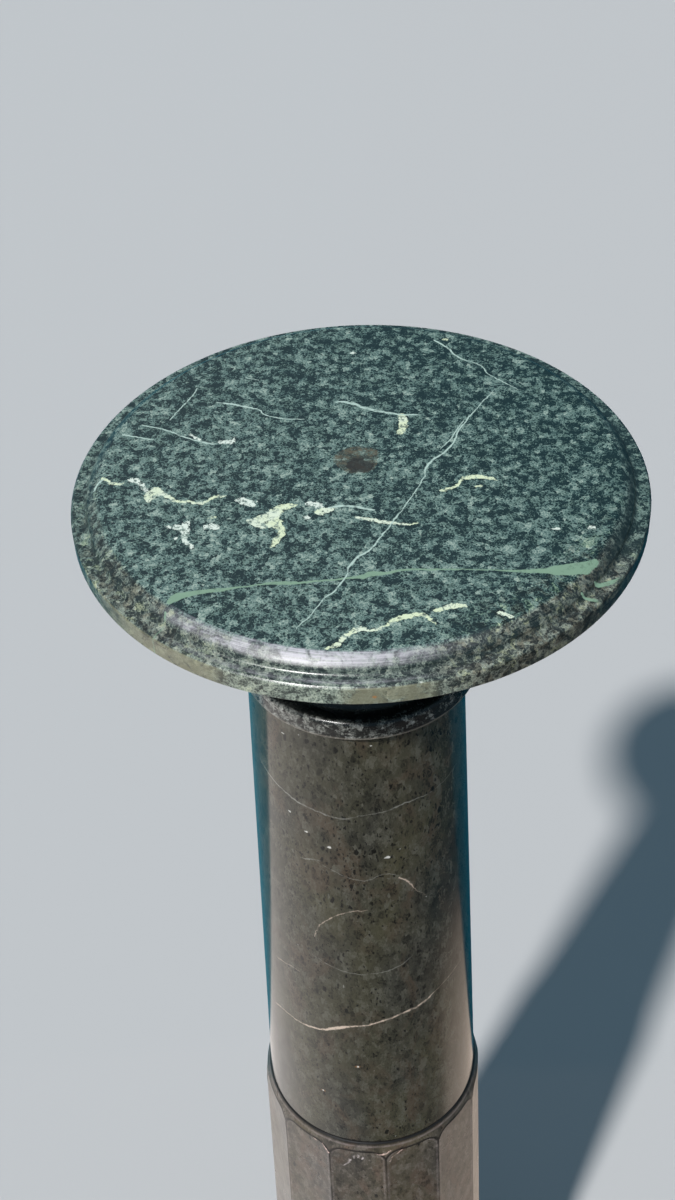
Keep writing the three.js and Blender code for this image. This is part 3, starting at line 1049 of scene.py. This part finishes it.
def darkStone(look, name, collarFoot=None):
    material, shader, place = newStone(name)
    reach, bearing, level = polarPlace(place)
    bent = shaken(place, 10.0, 2.4)
    tone = useGroup(patches, {"Vector": bent, "Size": 1.7, "Cluster": 4.6, "Chance": 0.16,
                              "Rims": 0.03})["Tone"]
    if collarFoot is None:
        colour = threeTones(tone, look["tones"])
    else:
        # The collar is painted darker towards the right, away from the light: painted shade
        tone = calc('SUBTRACT', tone, remap(bearing, -0.7, 0.6, -0.05, 0.16))
        # The neck and the bell above and inside the collar are painted near black: painted shade under the
        # slab
        above = remap(level, collarFoot + 12.4, collarFoot + 13.6)
        shade = calc('MAXIMUM', remap(reach, 66.4, 64.4), above)
        colour = tint(times(shade, 0.93), threeTones(tone, look["tones"]), look["neckShade"])
        # A painted highlight along the collar's lower arris
        colour = tint(times(nearTo(level, collarFoot + 0.9, 1.5), 0.75), colour, look["lip"])
    surfaceFinish(shader, place, colour, look)
    return material


# the pieces and their finishes

plinth = makePlinth(plinthSizes)
base = makeBase(baseSizes)
drum = makeDrum(drumSizes)
shaft = makeShaft(shaftSizes)
capital = makeCapital(capitalSizes)
slab = makeSlab(slabSizes)

green = greenStone(greenLook, "greenSerpentine", True, slabSizes["shift"])
greenPlain = greenStone(greenLook, "greenSerpentinePlain", False, 0)
greyShaft = greyStone(greyLook, "greySerpentineShaft", (1, 1, 1), 0.9)
greyDrum = greyStone(drumLook, "greySerpentineDrum", (1.58, 1.41, 1.48), 0.6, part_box("lower_drum")[0][2])
dark = darkStone(darkLook, "darkSerpentine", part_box("capital")[0][2] / mm)
darkPlain = darkStone(darkLook, "darkSerpentinePlain")
for piece, finish in ((slab, green), (plinth, greenPlain), (shaft, greyShaft), (drum, greyDrum),
                      (capital, dark), (base, darkPlain)):
    piece.data.materials.clear()
    piece.data.materials.append(finish)
print("finishes applied")


# floor, reflection sheet, light and camera

studio = {
    "floorSize": 60,
    "floorColour": (0.585, 0.585, 0.595),
    "sunStrength": 3.3,
    "sunColour": (1.0, 0.985, 0.96),
    "sunFrom": (-0.401, -0.720, 1.0),
    "sunPlace": (-2, -3.6, 5.6),
    "sunAngle": 3.2,
    "sky": (0.10, 0.165, 0.215),
    "backdrop": (0.50, 0.53, 0.555),
    "overhead": (0.36, 0.38, 0.42),
    "overheadFrom": 0.617,
}

# What the polish sees along the floor: brightness by the bearing from the front, in degrees
floorGlow = {
    "round": [(-180, .74), (-110, .78), (-90, .75), (-60, .58), (-35, .34), (-15, .17), (0, .08),
              (45, .07), (66, .12), (80, .40), (95, .66), (120, .7), (180, .7)],
    "most": 1.22,
    "height": 0.003,
    "white": (1.06, 1.0, 0.97),
    "warm": (1.0, 0.83, 0.70),
    "deep": (0.012, 0.040, 0.060),
    "tealLeft": (0.045, 0.235, 0.32),
    "tealRight": (0.0, 0.070, 0.112),
    "tealFrom": (0.417, 0.350),
    "tealTurn": 0.128,
}


def newSheet(name, size, height, material):
    clearSelection()
    bpy.ops.mesh.primitive_plane_add(size=size, location=(0, 0, height))
    sheet = nameActive(name)
    sheet.data.materials.append(material)
    return sheet


def setFloor(sizes):
    material = bpy.data.materials.new("studioFloor")
    material.use_nodes = True
    shader = material.node_tree.nodes["Principled BSDF"]
    shader.inputs["Base Color"].default_value = (*sizes["floorColour"], 1)
    shader.inputs["Roughness"].default_value = 0.9
    shader.inputs["Specular IOR Level"].default_value = 0.1
    sheet = newSheet("studioFloor", sizes["floorSize"], 0, material)


# A sheet over the floor that only reflections see: pale to the left, dark in front, teal behind
def reflectionSheet(look, size):
    material = bpy.data.materials.new("reflectionSheet")
    emptyTree(material)
    place = addNode('ShaderNodeTexCoord').outputs["Object"]
    x, y = partsOf(place)[:2]
    reach, bearing = polarPlace(place)[:2]
    glow = times(byBearing(bearing, look["round"]), look["most"])
    right = remap(bearing, 0.9, 1.3)
    glow = times(glow, remap(times(right, reach), 410, 690, 1.0, 0.35))
    colour = tint(right, look["white"], look["warm"])
    strong = vectorCalc('SCALE', {0: colour, "Scale": glow})[0]
    beyond = times(right, remap(reach, 680, 730))
    colour = tint(beyond, strong, look["deep"])
    leftLine = calc('MULTIPLY_ADD', x, look["tealTurn"], look["tealFrom"][0])
    line = tint(calc('GREATER_THAN', x, 0.0), leftLine, (look["tealFrom"][1],) * 3)
    teal = tint(remap(x, -0.05, 0.05), look["tealLeft"], look["tealRight"])
    colour = tint(remap(calc('SUBTRACT', y, line), 0.0, 0.015), colour, teal)
    lamp = addNode('ShaderNodeEmission', {"Color": colour, "Strength": 1.0})
    addNode('ShaderNodeOutputMaterial', {"Surface": lamp.outputs[0]})
    sheet = newSheet("reflectionSheet", size, look["height"], material)
    for ray in ("camera", "diffuse", "shadow", "transmission", "volume_scatter"):
        setattr(sheet, "visible_" + ray, False)


# A soft sky, with a backdrop for the camera and a glow overhead that only reflections see
def setWorld(sizes):
    world = bpy.data.worlds.new("studioWorld")
    bpy.context.scene.world = world
    emptyTree(world)
    rays = addNode('ShaderNodeLightPath').outputs
    x, y, z = partsOf(addNode('ShaderNodeTexCoord').outputs["Generated"])
    high = calc('MULTIPLY_ADD', x, -4.5, swing(z, sizes["overheadFrom"], 5.0, 0.6), clamp=True)
    high = times(times(high, remap(y, 0.1, 0.45)), rays["Is Glossy Ray"])
    sky = tint(high, sizes["sky"], sizes["overhead"])
    sky = tint(rays["Is Camera Ray"], sky, sizes["backdrop"])
    light = addNode('ShaderNodeBackground', {"Color": sky, "Strength": 1.0})
    addNode('ShaderNodeOutputWorld', {"Surface": light.outputs[0]})


def setSun(sizes):
    clearSelection()
    bpy.ops.object.light_add(type='SUN', location=sizes["sunPlace"])
    sun = bpy.context.object
    sun.name = "studioKey"
    sun.rotation_euler = Vector(sizes["sunFrom"]).to_track_quat('Z', 'Y').to_euler()
    sun.data.energy = sizes["sunStrength"]
    sun.data.angle = math.radians(sizes["sunAngle"])
    sun.data.color = sizes["sunColour"]


cameraSizes = {
    "place": (0.0174, -0.6740, 1.6729),
    "pitch": 42.345,
    "yaw": -2.201,
    "roll": 2.955,
    "lens": 49.4,
}


def setCamera(sizes):
    clearSelection()
    bpy.ops.object.camera_add(location=sizes["place"])
    camera = bpy.context.object
    camera.name = "photoCamera"
    yaw, roll = math.radians(sizes["yaw"]), math.radians(sizes["roll"])
    tilt = math.pi / 2 - math.radians(sizes["pitch"])
    turned = Matrix.Rotation(-yaw, 4, 'Z') @ Matrix.Rotation(tilt, 4, 'X') @ Matrix.Rotation(-roll, 4, 'Z')
    camera.matrix_world = Matrix.Translation(sizes["place"]) @ turned
    camera.data.lens = sizes["lens"]
    camera.data.sensor_fit = 'VERTICAL'
    camera.data.sensor_height = 36
    camera.data.clip_start = 0.01
    camera.data.clip_end = 100
    bpy.context.scene.camera = camera


setFloor(studio)
reflectionSheet(floorGlow, studio["floorSize"])
setWorld(studio)
setSun(studio)
setCamera(cameraSizes)
bpy.context.scene.view_settings.view_transform = 'Standard'
print("studio set")
